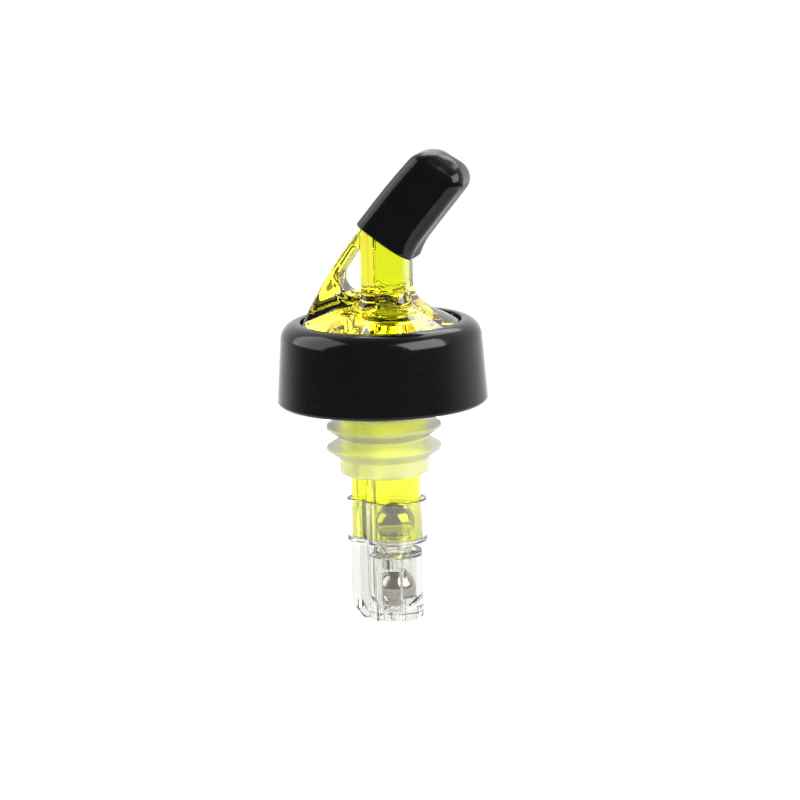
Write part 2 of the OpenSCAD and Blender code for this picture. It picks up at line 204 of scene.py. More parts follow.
# Cork: a soft stopper of natural polyethylene, moulded in one with its flange and round sealing fins.
# It is pushed onto the chamber tube, and its flange lies under the collar on the bottle's lip.
cork_low, cork_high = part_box("cork")
cork_r = 9.1 * mm
cork_lead = 1.1 * mm
fin_r = 11.55 * mm
fin_count = 4
fin_pitch = 4.3 * mm
fin_root = 3.8 * mm
fin_root_r = 0.25 * mm
fin_tip_r = 0.6 * mm
fin_drop = 20.8 * mm
flange_r = cork_high.x
flange_t = 1.2 * mm
flange_edge = 0.3 * mm
boss_r = 13.2 * mm
boss_edge = 0.2 * mm
# room around the tube, and between two faces that lie on each other
tube_room = 0.12 * mm
face_room = 0.08 * mm
boss_top = cork_high.z - face_room
# a turned piece starts this far off the axis, within what its bore takes away
core_r = 2.5 * mm


def rounded_path(corners, step=12):
    """Points of a closed outline from its corners (u, v, radius), each rounded by an arc."""
    points = []
    for i, (u, v, r) in enumerate(corners):
        corner = Vector((u, v))
        come = (corner - Vector(corners[i - 1][:2])).normalized()
        leave = (Vector(corners[(i + 1) % len(corners)][:2]) - corner).normalized()
        turn = math.atan2(come.x * leave.y - come.y * leave.x, come.dot(leave))
        if r == 0 or abs(turn) < 0.01:
            points.append(corner)
            continue
        start = corner - come * r * math.tan(abs(turn) / 2)
        side = Vector((-come.y, come.x)) * math.copysign(r, turn)
        count = max(2, math.ceil(abs(math.degrees(turn)) / step))
        for k in range(count + 1):
            points.append(start + side + Matrix.Rotation(turn * k / count, 2) @ -side)
    return points


def outlined(name, points, fill="NGON"):
    """A flat shape: a circle whose corners are moved onto the points."""
    bpy.ops.object.select_all(action="DESELECT")
    bpy.ops.mesh.primitive_circle_add(vertices=len(points), radius=mm, fill_type=fill)
    shape = bpy.context.object
    shape.name = name
    for vertex, point in zip(shape.data.vertices, points):
        vertex.co = point
    return shape


def turned(name, path, x=0.0):
    """A piece turned about an upright axis at x, from its half outline of (radius, level)."""
    piece = outlined(name, [Vector((x + p.x, 0, p.y)) for p in path], "NOTHING")
    bpy.ops.object.mode_set(mode="EDIT")
    bpy.ops.mesh.select_all(action="SELECT")
    bpy.ops.mesh.spin(steps=round_steps, angle=math.tau, center=(x, 0, 0), axis=(0, 0, 1))
    bpy.ops.mesh.select_all(action="SELECT")
    bpy.ops.mesh.remove_doubles(threshold=0.001 * mm)
    bpy.ops.mesh.normals_make_consistent(inside=False)
    bpy.ops.object.mode_set(mode="OBJECT")
    return piece


cork_path = [(core_r, boss_top, 0), (boss_r, boss_top, boss_edge), (boss_r, flange_t, 0),
             (flange_r, flange_t, flange_edge), (flange_r, 0, flange_edge), (cork_r, 0, 0)]
for i in reversed(range(fin_count)):
    level = i * fin_pitch - fin_drop
    cork_path += [(cork_r, level + fin_root / 2, fin_root_r),
                  (fin_r, level + fin_tip_r / 2, fin_tip_r / 2),
                  (fin_r, level - fin_tip_r / 2, fin_tip_r / 2),
                  (cork_r, level - fin_root / 2, fin_root_r)]
cork_path += [(cork_r, cork_low.z, cork_lead), (core_r, cork_low.z, 0)]
cork = turned("polyethylene_cork", rounded_path(cork_path))
cork_bore = tube_shape("cork_bore", tube_room, cork_low.z - run_out, cork_high.z + run_out)
change_solid(cork, cork_bore, "DIFFERENCE")
shade_round(cork)

# Natural low-density polyethylene: waxy and milky, so that it glows with whatever is behind it.
cork_colour = "FEFFFA"
cork_haze_size = 5 * mm
cork_grain_size = 0.4 * mm
cork_poly, cork_tree = blank_material("natural_polyethylene")
cork_place = add_node(cork_tree, "ShaderNodeTexCoord", {})
cork_haze = add_node(cork_tree, "ShaderNodeTexNoise", {
    "Vector": cork_place.outputs["Object"], "Scale": 1 / cork_haze_size, "Detail": 3.0})
cork_rough = add_node(cork_tree, "ShaderNodeMapRange", {
    "Value": cork_haze.outputs["Fac"], "From Min": 0.3, "From Max": 0.7, "To Min": 0.34, "To Max": 0.46})
cork_grain = add_node(cork_tree, "ShaderNodeTexNoise", {
    "Vector": cork_place.outputs["Object"], "Scale": 1 / cork_grain_size, "Detail": 2.0})
cork_bump = add_node(cork_tree, "ShaderNodeBump", {
    "Height": cork_grain.outputs["Fac"], "Strength": 0.4, "Distance": 0.02 * mm})
cork_skin = add_node(cork_tree, "ShaderNodeBsdfPrincipled", {
    "Base Color": linear(cork_colour), "Roughness": cork_rough.outputs["Result"], "IOR": 1.51,
    "Transmission Weight": 0.8, "Normal": cork_bump.outputs["Normal"]})
add_node(cork_tree, "ShaderNodeOutputMaterial", {"Surface": cork_skin.outputs["BSDF"]})
finish_piece(cork, cork_poly, "cork_polyethylene", "pourer", "cork")

# The same polyethylene where its bore is squeezed onto the tube: no film of air is left between them,
# so it neither bends nor mirrors the light there, and the tube's lemon shows through the whole cork.
bore_poly, bore_tree = blank_material("polyethylene_on_tube")
bore_skin = add_node(bore_tree, "ShaderNodeBsdfPrincipled", {
    "Base Color": linear(cork_colour), "Roughness": 0.0, "IOR": 1.0, "Transmission Weight": 1.0})
add_node(bore_tree, "ShaderNodeOutputMaterial", {"Surface": bore_skin.outputs["BSDF"]})
cork.data.materials.append(bore_poly)
for face in cork.data.polygons:
    gaps = [(face.center.xy - Vector((x, 0))).length - r
            for x, r in ((chamber_x, chamber_r), (breather_x, breather_r))]
    if min(gaps) < 2 * tube_room and abs(face.normal.z) < 0.1:
        face.material_index = 1


# Collar: a glossy black moulded ring. Its floor is clamped between head and cork, its rounded shoulder
# frames the head's foot, and its skirt hangs over the bottle's lip.
collar_low, collar_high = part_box("collar")
collar_r = collar_high.x
collar_top_r = 19.85 * mm
collar_shoulder = 3.5 * mm
collar_wall = 2.2 * mm
collar_edge = 0.6 * mm
collar_bore_r = boss_r + tube_room
skirt_root = 0.8 * mm
mouth_r = 16.1 * mm
mouth_edge = 0.25 * mm
mouth_root = 0.3 * mm
floor_edge = 0.2 * mm
floor_low = flange_t
floor_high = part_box("pour_head")[0].z - face_room

collar = turned("black_collar", rounded_path([
    (collar_bore_r, floor_low, floor_edge),
    (collar_top_r - collar_wall, floor_low, skirt_root),
    (collar_r - collar_wall, collar_low.z, collar_edge),
    (collar_r, collar_low.z, collar_edge),
    (collar_top_r, collar_high.z, collar_shoulder),
    (mouth_r, collar_high.z, mouth_edge),
    (mouth_r, floor_high, mouth_root),
    (collar_bore_r, floor_high, floor_edge)], step=6))
shade_round(collar)

# Black ABS from a polished mould: high gloss, with faint flow lines and a trace of handling.
collar_flow_size = 7 * mm
collar_rub_size = 1.2 * mm
collar_abs, collar_tree = blank_material("black_gloss_abs")
collar_place = add_node(collar_tree, "ShaderNodeTexCoord", {})
collar_flow = add_node(collar_tree, "ShaderNodeTexNoise", {
    "Vector": collar_place.outputs["Object"], "Scale": 1 / collar_flow_size, "Detail": 1.0})
collar_rub = add_node(collar_tree, "ShaderNodeTexNoise", {
    "Vector": collar_place.outputs["Object"], "Scale": 1 / collar_rub_size, "Detail": 6.0})
collar_rough = add_node(collar_tree, "ShaderNodeMapRange", {
    "Value": collar_rub.outputs["Fac"], "From Min": 0.35, "From Max": 0.7, "To Min": 0.1, "To Max": 0.2})
collar_bump = add_node(collar_tree, "ShaderNodeBump", {
    "Height": collar_flow.outputs["Fac"], "Strength": 1.0, "Distance": 0.006 * mm})
collar_skin = add_node(collar_tree, "ShaderNodeBsdfPrincipled", {
    "Base Color": linear("080808"), "Roughness": collar_rough.outputs["Result"], "IOR": 1.34,
    "Normal": collar_bump.outputs["Normal"]})
add_node(collar_tree, "ShaderNodeOutputMaterial", {"Surface": collar_skin.outputs["BSDF"]})
finish_piece(collar, collar_abs, "collar_black", "pourer", "collar")


# Pour head: one clear yellow moulding with the foot that sits in the collar, the stem, the leaning spout
# under the cap, and the strap that braces it. The tube's socket, outlet seat and pour passage are inside.
head_low, head_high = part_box("pour_head")
foot_r = head_high.y
foot_rim = 1.6 * mm
foot_lead = 1.4 * mm
foot_edge = 0.1 * mm
crown_r = 9.1 * mm
crown_z = 7.7 * mm
crown_edge = 0.6 * mm
stem_x = 1.6 * mm
stem_w = 8.9 * mm
stem_depth = 10 * mm
stem_round = 2 * mm
stem_sink = 1.5 * mm
stem_back = stem_x - stem_w / 2
flare_r = 4.8 * mm
flare_top = 12 * mm
flare_turn = math.radians(66)
flare_steps = 12
spout_x = 1.95 * mm
spout_z = 21.6 * mm
spout_tilt = math.radians(40)
spout_w = 10 * mm
spout_depth = 9.6 * mm
spout_len = 17.5 * mm
spout_sink = 1.2 * mm
mouth_slant = math.radians(10)
shoulder = math.tan(mouth_slant - spout_tilt)
throat_r = 2.6 * mm
throat_z = 11 * mm
throat_lap = 0.1 * mm
passage_depth = 3.9 * mm
passage_x = 2.2 * mm
passage_w = 5.4 * mm
passage_round = 1.9 * mm
head_voxel = 0.225 * mm


def lofted(name, loops):
    """A solid through a row of closed loops that all have the same number of points."""
    piece = outlined(name, loops[0])
    for before, after in zip(loops, loops[1:]):
        bpy.ops.object.mode_set(mode="EDIT")
        bpy.ops.mesh.extrude_region_move()
        bpy.ops.object.mode_set(mode="OBJECT")
        top = next(face for face in piece.data.polygons if face.select)
        for index in top.vertices:
            vertex = piece.data.vertices[index]
            nearest = min(range(len(before)), key=lambda k: (before[k] - vertex.co).length)
            vertex.co = after[nearest]
    bpy.ops.object.mode_set(mode="EDIT")
    bpy.ops.mesh.select_all(action="SELECT")
    bpy.ops.mesh.normals_make_consistent(inside=False)
    bpy.ops.object.mode_set(mode="OBJECT")
    return piece


def rounded_block(w, d, r):
    """Points of a rectangle about the origin with round corners."""
    return rounded_path([(-w / 2, -d / 2, r), (w / 2, -d / 2, r), (w / 2, d / 2, r), (-w / 2, d / 2, r)])


def slab(name, path, depth):
    """An outline in the X-Z plane, given depth from front to back."""
    return lofted(name, [[Vector((p.x, y, p.y)) for p in path] for y in (-depth / 2, depth / 2)])


def along_spout(across, y, along):
    """A point given in the spout's own directions."""
    tilt = Matrix.Rotation(spout_tilt, 3, "Y")
    return Vector((spout_x, 0, spout_z)) + tilt @ Vector((across, y, along))


def melt_edges(piece, voxel, rounds):
    """Skins a piece evenly and smooths it, so that every edge gets the small round of a moulding."""
    skin = piece.modifiers.new("skin", "REMESH")
    skin.mode = "VOXEL"
    skin.voxel_size = voxel
    soft = piece.modifiers.new("soft", "SMOOTH")
    soft.factor = 0.5
    soft.iterations = rounds
    pick(piece)
    for modifier in ("skin", "soft"):
        bpy.ops.object.modifier_apply(modifier=modifier)
    bpy.ops.object.shade_smooth()


head = turned("yellow_head", rounded_path([
    (core_r, head_low.z, 0),
    (foot_r - foot_lead, head_low.z, 0),
    (foot_r, head_low.z + foot_lead, foot_edge),
    (foot_r, head_low.z + foot_rim, foot_edge),
    (crown_r, crown_z, crown_edge),
    (core_r, crown_z, 0)]))
# the turned foot is open along its axis, so a core fills it
change_solid(head, rod("head_core", 0, crown_r - run_out, head_low.z, crown_z), "UNION")

# stem, with a flare at its foot and a slanted upper end
stem_loops = []
for k in range(flare_steps + 1):
    turn = flare_turn * (1 - k / flare_steps)
    grow = flare_r * (1 - math.cos(turn))
    level = flare_top - flare_r * math.sin(turn)
    section = rounded_block(stem_w + 2 * grow, stem_depth + 2 * grow, stem_round + grow)
    stem_loops.append([Vector((stem_x + p.x, p.y, level)) for p in section])
stem_foot = [Vector((p.x, p.y, crown_z - stem_sink)) for p in stem_loops[0]]
stem_end = [Vector((p.x, p.y, spout_z + (p.x - spout_x) * shoulder)) for p in stem_loops[-1]]
change_solid(head, lofted("head_stem", [stem_foot, *stem_loops, stem_end]), "UNION")

# spout
spout_section = rounded_block(spout_w, spout_depth, stem_round)
spout_loops = [[along_spout(p.x, p.y, along) for p in spout_section] for along in (-spout_sink, spout_len)]
change_solid(head, lofted("head_spout", spout_loops), "UNION")

# strap: an arc from the foot's edge to the back of the cap's mouth, wider at its root
strap_depth = 7.4 * mm
strap_t = 1.6 * mm
strap_foot = Vector((-15.2, 4.4)) * mm
strap_sag = 0.8 * mm
strap_inset = 5.07 * mm
strap_sink = 1 * mm
strap_steps = 8
strap_voxel = 0.35 * mm
root_rise = 8 * mm
root_out = 1 * mm
strap_lip = along_spout(-strap_inset, 0, -strap_inset * math.tan(mouth_slant))
chord = Vector((strap_lip.x, strap_lip.z)) - strap_foot
outward = Vector((-chord.y, chord.x)).normalized()
strap_out = []
strap_in = []
for k in range(strap_steps + 1):
    share = k / strap_steps
    point = strap_foot + chord * share + outward * strap_sag * 4 * share * (1 - share)
    strap_out.append((point.x, point.y, 0))
    strap_in.append(point - outward * strap_t)
strap_path = [*strap_out,
              (stem_x, spout_z + (stem_x - spout_x) * shoulder, 0),
              (stem_x, crown_z - strap_sink, 0),
              (strap_foot.x + strap_sink, strap_foot.y - strap_sink / 2, 0)]
strap = slab("head_strap", rounded_path(strap_path), strap_depth)
melt_edges(strap, strap_voxel, 4)
foot_slope = (crown_z - head_low.z - foot_rim) / (foot_r - crown_r)
for vertex in strap.data.vertices:
    foot_level = crown_z - foot_slope * max(0, vertex.co.xy.length - crown_r)
    share = min(1, max(0, 1 - (vertex.co.z - foot_level) / root_rise))
    vertex.co.y *= 1 + root_out * share ** 2 / (strap_depth / 2)
change_solid(head, strap, "UNION")

# window under the strap, between its inner line and the stem, with edges that round outwards
window_z = 10.3 * mm
window_round = 3 * mm
window_low_r = 0.4 * mm
window_top_r = 0.8 * mm
window_edge = 0.8 * mm
window_half = 2.4 * mm
window_past = 2 * mm
window_steps = 5
low_run = strap_in[3] - strap_in[2]
inner_low = strap_in[2] + low_run * ((window_z - strap_in[2].y) / low_run.y)
high_run = strap_in[7] - strap_in[6]
inner_high = strap_in[6] + high_run * ((stem_back - strap_in[6].x) / high_run.x)
window_path = rounded_path([(inner_low.x, inner_low.y, window_round), (stem_back, window_z, window_low_r),
                            (inner_high.x, inner_high.y, window_top_r)], step=8)
window_mid = sum(window_path, Vector((0, 0))) / len(window_path)
window_loops = []
for k in range(-window_steps - 2, window_steps + 3):
    turn = math.radians(90) * min(1, max(0, (abs(k) - 1) / window_steps))
    spread = 1 + window_edge * (1 - math.cos(turn)) / window_half
    reach = strap_depth / 2 - window_edge * (1 - math.sin(turn)) if k else 0
    reach += window_past if abs(k) > window_steps + 1 else 0
    section = [window_mid + (p - window_mid) * spread for p in window_path]
    window_loops.append([Vector((min(p.x, stem_back), math.copysign(reach, k), p.y)) for p in section])
change_solid(head, lofted("head_window", window_loops), "DIFFERENCE")

# socket for the tube, outlet seat and throat
socket = tube_shape("head_socket", tube_room, head_low.z - run_out, tube_high.z + tube_room)
change_solid(head, socket, "DIFFERENCE")
outlet_top = tube_high.z + chamber_bore_r - throat_r
outlet = rod("head_outlet", chamber_x, chamber_bore_r, tube_high.z, outlet_top, throat_r)
change_solid(head, outlet, "DIFFERENCE")
throat = rod("head_throat", chamber_x, throat_r, outlet_top - throat_lap, throat_z + throat_lap)
change_solid(head, throat, "DIFFERENCE")

# pour passage up the stem and out along the spout
wall_low = passage_x - passage_w / 2
wall_high = passage_x + passage_w / 2
elbow_low, elbow_high = ((x - spout_x) / math.cos(spout_tilt) for x in (wall_low, wall_high))
passage_corners = [
    (Vector((wall_low, 0, throat_z)), passage_round),
    (Vector((wall_high, 0, throat_z)), passage_round),
    (along_spout(elbow_high, 0, 0), 0),
    (along_spout(elbow_high, 0, spout_len + run_out), 0),
    (along_spout(elbow_low, 0, spout_len + run_out), 0),
    (along_spout(elbow_low, 0, 0), 0)]
passage_path = rounded_path([(p.x, p.z, r) for p, r in passage_corners])
change_solid(head, slab("head_passage", passage_path, passage_depth), "DIFFERENCE")

# breather, open at the foot of the window
breather_top = window_z + 1 * mm
breather = rod("head_breather", breather_x, breather_bore_r, tube_high.z - run_out, breather_top)
change_solid(head, breather, "DIFFERENCE")
melt_edges(head, head_voxel, 6)

# the hidden underside is wavy from the mould, and its waves swirl the light in the foot
underside_wave = 0.1 * mm
underside_size = 4.5 * mm
underside_reach = 0.5 * mm
for vertex in head.data.vertices:
    near = max(0, 1 - (vertex.co.z - head_low.z) / underside_reach)
    vertex.co.z += underside_wave * near * (1 + noise.noise(vertex.co / underside_size)) / 2

# The same polycarbonate in a thicker piece: long ways through it turn from lemon to amber.
head_plastic = clear_plastic(
    "head_polycarbonate", dye="F4FE64", depth_dye="FFF280", density=120, ior=1.57,
    wave_size=7 * mm, wave_depth=0.006 * mm, gloss=0.02)
finish_piece(head, head_plastic, "yellow_head", "pourer", "pour_head")


# Control cage: a clear colourless moulding. Its sleeve grips the tube's end, and below the open inlet gap
# hangs a cup for the lower ball, with two flats edged by ribs and a breather leg with a slanted foot.
cage_low, cage_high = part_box("control_cage")
sleeve_wall = 1 * mm
cup_r = 5.4 * mm
cup_bore_r = 4.1 * mm
cup_top = -42 * mm
cup_end = tube_low.z - 0.3 * mm
socket_low = tube_low.z - 0.05 * mm
ledge_low = -40.1 * mm
seat_level = -43 * mm
seat_bore_r = 4.7 * mm
leg_r = 2.8 * mm
bevel_w = 3 * mm
bevel_h = 3.4 * mm
drain_r = 1.2 * mm
drain_z = cage_low.z + 1.5 * mm
rib_x = 2.7 * mm
rib_w = 0.6 * mm
rib_h = 0.45 * mm
rib_top = cup_top - 3.2 * mm
flow_w = 4.2 * mm
flow_y = cup_bore_r + 0.08 * mm
flow_low = drain_z + 0.2 * mm
flow_high = seat_level + 0.1 * mm
inlet_x = -2.2 * mm
cage_voxel = 0.17 * mm


def block(name, low, high):
    """A square block between two corners."""
    bpy.ops.object.select_all(action="DESELECT")
    bpy.ops.mesh.primitive_cube_add(size=1, location=(Vector(low) + Vector(high)) / 2)
    bpy.context.object.scale = Vector(high) - Vector(low)
    bpy.ops.object.transform_apply(location=True, scale=True)
    bpy.context.object.name = name
    return bpy.context.object


# cup with its two flats, leg, sleeve and ribs
cage = rod("clear_cage", chamber_x, cup_r, cage_low.z, cup_end)
cup_flat = math.sqrt(cup_r ** 2 - rib_x ** 2)
for side in (-1, 1):
    flat_y = sorted((side * cup_flat, side * 2 * cup_r))
    flat = block("cage_flat", (-cup_r, flat_y[0], cage_low.z - run_out), (2 * cup_r, flat_y[1], rib_top))
    change_solid(cage, flat, "DIFFERENCE")
change_solid(cage, rod("cage_leg", breather_x, leg_r, cage_low.z, cup_end), "UNION")
change_solid(cage, tube_shape("cage_sleeve", sleeve_wall, ledge_low, cage_high.z), "UNION")
rib_y = cup_flat + rib_h
for side in (-1, 1):
    rib = chamber_x + side * rib_x
    bar = block("cage_rib", (rib - rib_w / 2, -rib_y, cage_low.z), (rib + rib_w / 2, rib_y, rib_top))
    change_solid(cage, bar, "UNION")

# room for the ball and the seat, the drain below it, and the flat-sided way past the ball
cup_hollow = turned("cage_hollow", rounded_path([
    (drain_r / 2, cage_low.z - run_out, 0),
    (drain_r, cage_low.z - run_out, 0),
    (drain_r, drain_z, 0),
    (cup_bore_r, drain_z + cup_bore_r - drain_r, 0),
    (cup_bore_r, seat_level, 0),
    (seat_bore_r, seat_level, 0),
    (seat_bore_r, cup_top + run_out, 0),
    (chamber_bore_r, cup_top + run_out, 0),
    (chamber_bore_r, tube_low.z + run_out, 0),
    (drain_r / 2, tube_low.z + run_out, 0)]), chamber_x)
change_solid(cage, cup_hollow, "DIFFERENCE")
# the turned cutter is open along its axis too, so a rod takes what it leaves
drain = rod("cage_drain", chamber_x, drain_r * 0.9, cage_low.z - run_out, tube_low.z + run_out)
change_solid(cage, drain, "DIFFERENCE")
flow_way = block("cage_flow", (chamber_x - flow_w / 2, -flow_y, flow_low),
                 (chamber_x + flow_w / 2, flow_y, flow_high))
change_solid(cage, flow_way, "DIFFERENCE")

# socket for the tube's end, breather bore, inlet gap and the leg's slanted foot
cage_socket = tube_shape("cage_socket", tube_room, socket_low, cage_high.z + run_out)
change_solid(cage, cage_socket, "DIFFERENCE")
leg_bore = rod("cage_breather", breather_x, breather_bore_r, cage_low.z - run_out, tube_low.z + run_out)
change_solid(cage, leg_bore, "DIFFERENCE")
inlet = block("cage_inlet", (inlet_x, -2 * cup_r, cup_top), (4 * cup_r, 2 * cup_r, ledge_low))
change_solid(cage, inlet, "DIFFERENCE")
leg_x = breather_x - leg_r
foot_cut = rounded_path([
    (leg_x - bevel_w, cage_low.z - bevel_h, 0),
    (leg_x + 2 * bevel_w, cage_low.z - bevel_h, 0),
    (leg_x - bevel_w, cage_low.z + 2 * bevel_h, 0)])
change_solid(cage, slab("cage_foot", foot_cut, 4 * cup_r), "DIFFERENCE")
melt_edges(cage, cage_voxel, 4)

# Clear polystyrene: colourless, bright and glassy.
cage_plastic = clear_plastic(
    "cage_polystyrene", dye="EDEDE8", depth_dye="F6F8F4", density=12, ior=1.59,
    wave_size=6 * mm, wave_depth=0.005 * mm, gloss=0.025)
finish_piece(cage, cage_plastic, "clear_cage", "pourer", "control_cage")


# Metering seat: a small clear disc with a raised ring, laid into the top of the cup before the cage goes on.
# The upper ball rests in its ring, the lower ball closes it from below, and a pinhole lets a little by.
seat_low, seat_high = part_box("metering_seat")
seat_r = seat_high.y
seat_edge = 0.1 * mm
seat_disc_top = seat_low.z + mm
seat_hole_r = 2.2 * mm
ring_r = 3.15 * mm
ring_land = 0.2 * mm
ring_root = 0.2 * mm
ring_edge = 0.06 * mm
bleed_r = 0.4 * mm
bleed_y = 3.6 * mm

seat = turned("clear_seat", rounded_path([
    (seat_hole_r, seat_low.z, seat_edge),
    (seat_r, seat_low.z, seat_edge),
    (seat_r, seat_disc_top, seat_edge),
    (ring_r, seat_disc_top, ring_root),
    (ring_r, seat_high.z, ring_edge),
    (ring_r - ring_land, seat_high.z, ring_edge),
    (seat_hole_r, seat_high.z - ring_r + ring_land + seat_hole_r, seat_edge)]), chamber_x)
bleed = rod("seat_bleed", chamber_x, bleed_r, seat_low.z - run_out, seat_disc_top + run_out, y=bleed_y)
change_solid(seat, bleed, "DIFFERENCE")
shade_round(seat)

# Clear polystyrene again, a touch less polished than the cage: glassy, with soft highlights.
seat_plastic = clear_plastic(
    "seat_polystyrene", dye="EDEDE8", depth_dye="F6F8F4", density=12, ior=1.59,
    wave_size=6 * mm, wave_depth=0.004 * mm, gloss=0.03)
finish_piece(seat, seat_plastic, "clear_seat", "pourer", "metering_seat")


# Balls: two ground and polished stainless steel balls. The upper one runs the length of the chamber
# and cuts the pour off, the lower one lifts in its cup to meter it.
def steel_ball(name, node):
    """A ball that fills its node's box: a cube cut fine and swelled to a sphere."""
    low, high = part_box(node)
    radius = (high.z - low.z) / 2
    bpy.ops.object.select_all(action="DESELECT")
    bpy.ops.mesh.primitive_cube_add(size=2 * radius)
    bpy.ops.object.mode_set(mode="EDIT")
    bpy.ops.mesh.subdivide(number_cuts=31)
    bpy.ops.object.mode_set(mode="OBJECT")
    ball = bpy.context.object
    for vertex in ball.data.vertices:
        vertex.co = vertex.co.normalized() * radius
    ball.location = (low + high) / 2
    bpy.ops.object.transform_apply(location=True)
    ball.name = name
    bpy.ops.object.shade_smooth()
    return ball


# Polished stainless steel: a near mirror, dulled in patches by fine scratches, drawn coarser than they are.
ball_scratch_size = 0.8 * mm
ball_steel, ball_tree = blank_material("polished_stainless_steel")
ball_place = add_node(ball_tree, "ShaderNodeTexCoord", {})
ball_scratch = add_node(ball_tree, "ShaderNodeTexNoise", {
    "Vector": ball_place.outputs["Object"], "Scale": 1 / ball_scratch_size, "Detail": 5.0})
ball_rough = add_node(ball_tree, "ShaderNodeMapRange", {
    "Value": ball_scratch.outputs["Fac"], "From Min": 0.35, "From Max": 0.7, "To Min": 0.06, "To Max": 0.12})
ball_skin = add_node(ball_tree, "ShaderNodeBsdfPrincipled", {
    "Base Color": linear("AFABA2"), "Metallic": 1.0, "Roughness": ball_rough.outputs["Result"]})
add_node(ball_tree, "ShaderNodeOutputMaterial", {"Surface": ball_skin.outputs["BSDF"]})
finish_piece(steel_ball("upper_ball", "cutoff_ball"), ball_steel, "ball_steel", "cutoff", "cutoff_ball")
finish_piece(steel_ball("lower_ball", "control_ball"), ball_steel, "ball_steel", "control", "control_ball")


# Spout cap: soft black vinyl, dip-moulded, so its corners are full and its end is a dented dome.
# It is pulled over the spout by hand. Its lip stretches where it meets the stem, and steps down there.
cap_w = 12.04 * mm
cap_depth = 11.64 * mm
cap_round = 2.8 * mm
cap_least_round = 0.4 * mm
cap_taper = 0.3 * mm
cap_swell = 0.45 * mm
cap_end = 20 * mm
cap_voxel = 0.2 * mm
end_start = 16.6 * mm
end_rise = 4.4 * mm
end_inset = 5.6 * mm
end_turn = math.radians(83)
end_steps = 13
end_slant = 0.15
lip_gap = 0.15 * mm
lip_reach = 4 * mm
lip_flare = 0.9 * mm
lip_widen = 0.05
lip_drop = 0.15 * mm
lip_step = 0.6 * mm
# where the step begins and ends, as shares of the way from the middle of a side to the front
step_start = 0.02
step_end = 0.2
hollow_room = 0.16 * mm
hollow_end = spout_len + 0.3 * mm
hollow_lead = 0.8 * mm
hollow_shrink = 0.92
hollow_start = -0.7 * mm


def cap_section(w, d, r):
    """A rectangle with round corners, and points in its long sides where the lip steps down."""
    begin = step_start * w / 2
    finish = step_end * w / 2
    return rounded_path([
        (-w / 2, -d / 2, r), (begin, -d / 2, 0), (finish, -d / 2, 0), (w / 2, -d / 2, r),
        (w / 2, d / 2, r), (finish, d / 2, 0), (begin, d / 2, 0), (-w / 2, d / 2, r)])


def stretched(p, share):
    """A point of a section, pushed out by the stretch of the lip, most on the side it leans to."""
    lean = 2 * p.x / cap_w
    push = max(0, lean) + lip_widen * min(0, lean)
    return Vector((p.x + lip_flare * share * push, p.y * (1 + lip_widen * share)))


def cap_loop(along, inset):
    """One ring of the cap: its section at a distance along the spout, drawn in by an inset."""
    share = max(0, min(1, along / cap_end))
    stretch = max(0, 1 - along / lip_reach) ** 2
    less = 2 * (cap_taper * share + inset)
    corner_r = max(cap_round - inset * 0.75, cap_least_round)
    ring = []
    for p in cap_section(cap_w - less, cap_depth - less, corner_r):
        side = 2 * p.x / cap_w
        step = max(0, min(1, (side - step_start) / (step_end - step_start)))
        low = (lip_gap + p.x * math.tan(mouth_slant)) * (1 - share)
        low -= stretch * (lip_drop + lip_step * step)
        swell = cap_swell * math.sin(math.pi * (0.1 + 0.8 * share)) * max(0, -side)
        out = stretched(p, stretch)
        ring.append(along_spout(out.x - swell, out.y, low + along + end_slant * p.x * share ** 2))
    return ring


cap_rings = [cap_loop(along * mm, 0) for along in (0, 0.5, 1, 1.5, 2, 3, 4, 6, 9, 12, 14.5)]
for k in range(end_steps + 1):
    turn = end_turn * k / end_steps
    cap_rings.append(cap_loop(end_start + end_rise * math.sin(turn), end_inset * (1 - math.cos(turn))))
cap = lofted("vinyl_cap", cap_rings)

# the hollow follows the stretch of the lip, and draws in at its end
hollow = rounded_block(spout_w + 2 * hollow_room, spout_depth + 2 * hollow_room, stem_round + hollow_room)
hollow_loops = []
for along in (-4 * mm, hollow_start, 0, 0.7 * mm, 1.4 * mm, 2.2 * mm, 3.3 * mm):
    stretch = min(1, max(0, 1 - (along - hollow_start) / lip_reach)) ** 2
    section = [stretched(p, stretch) for p in hollow]
    hollow_loops.append([along_spout(p.x, p.y, along) for p in section])
for along, shrink in ((hollow_end - hollow_lead, 1), (hollow_end, hollow_shrink)):
    hollow_loops.append([along_spout(p.x * shrink, p.y * shrink, along) for p in hollow])
change_solid(cap, lofted("cap_hollow", hollow_loops), "DIFFERENCE")
melt_edges(cap, cap_voxel, 8)

# dents in the end, where the skin sank as it set: across, depth-wise, radius and depth, in millimetres
for across, y, size, sink in ((1.6, -2.6, 1.8, 0.2), (-1.5, -1, 1.2, 0.15)):
    heart = along_spout(across * mm, y * mm, cap_end)
    inward = along_spout(0, 0, 0) - along_spout(0, 0, sink * mm)
    for vertex in cap.data.vertices:
        vertex.co += inward * math.exp(-((vertex.co - heart).length / (size * mm)) ** 2)

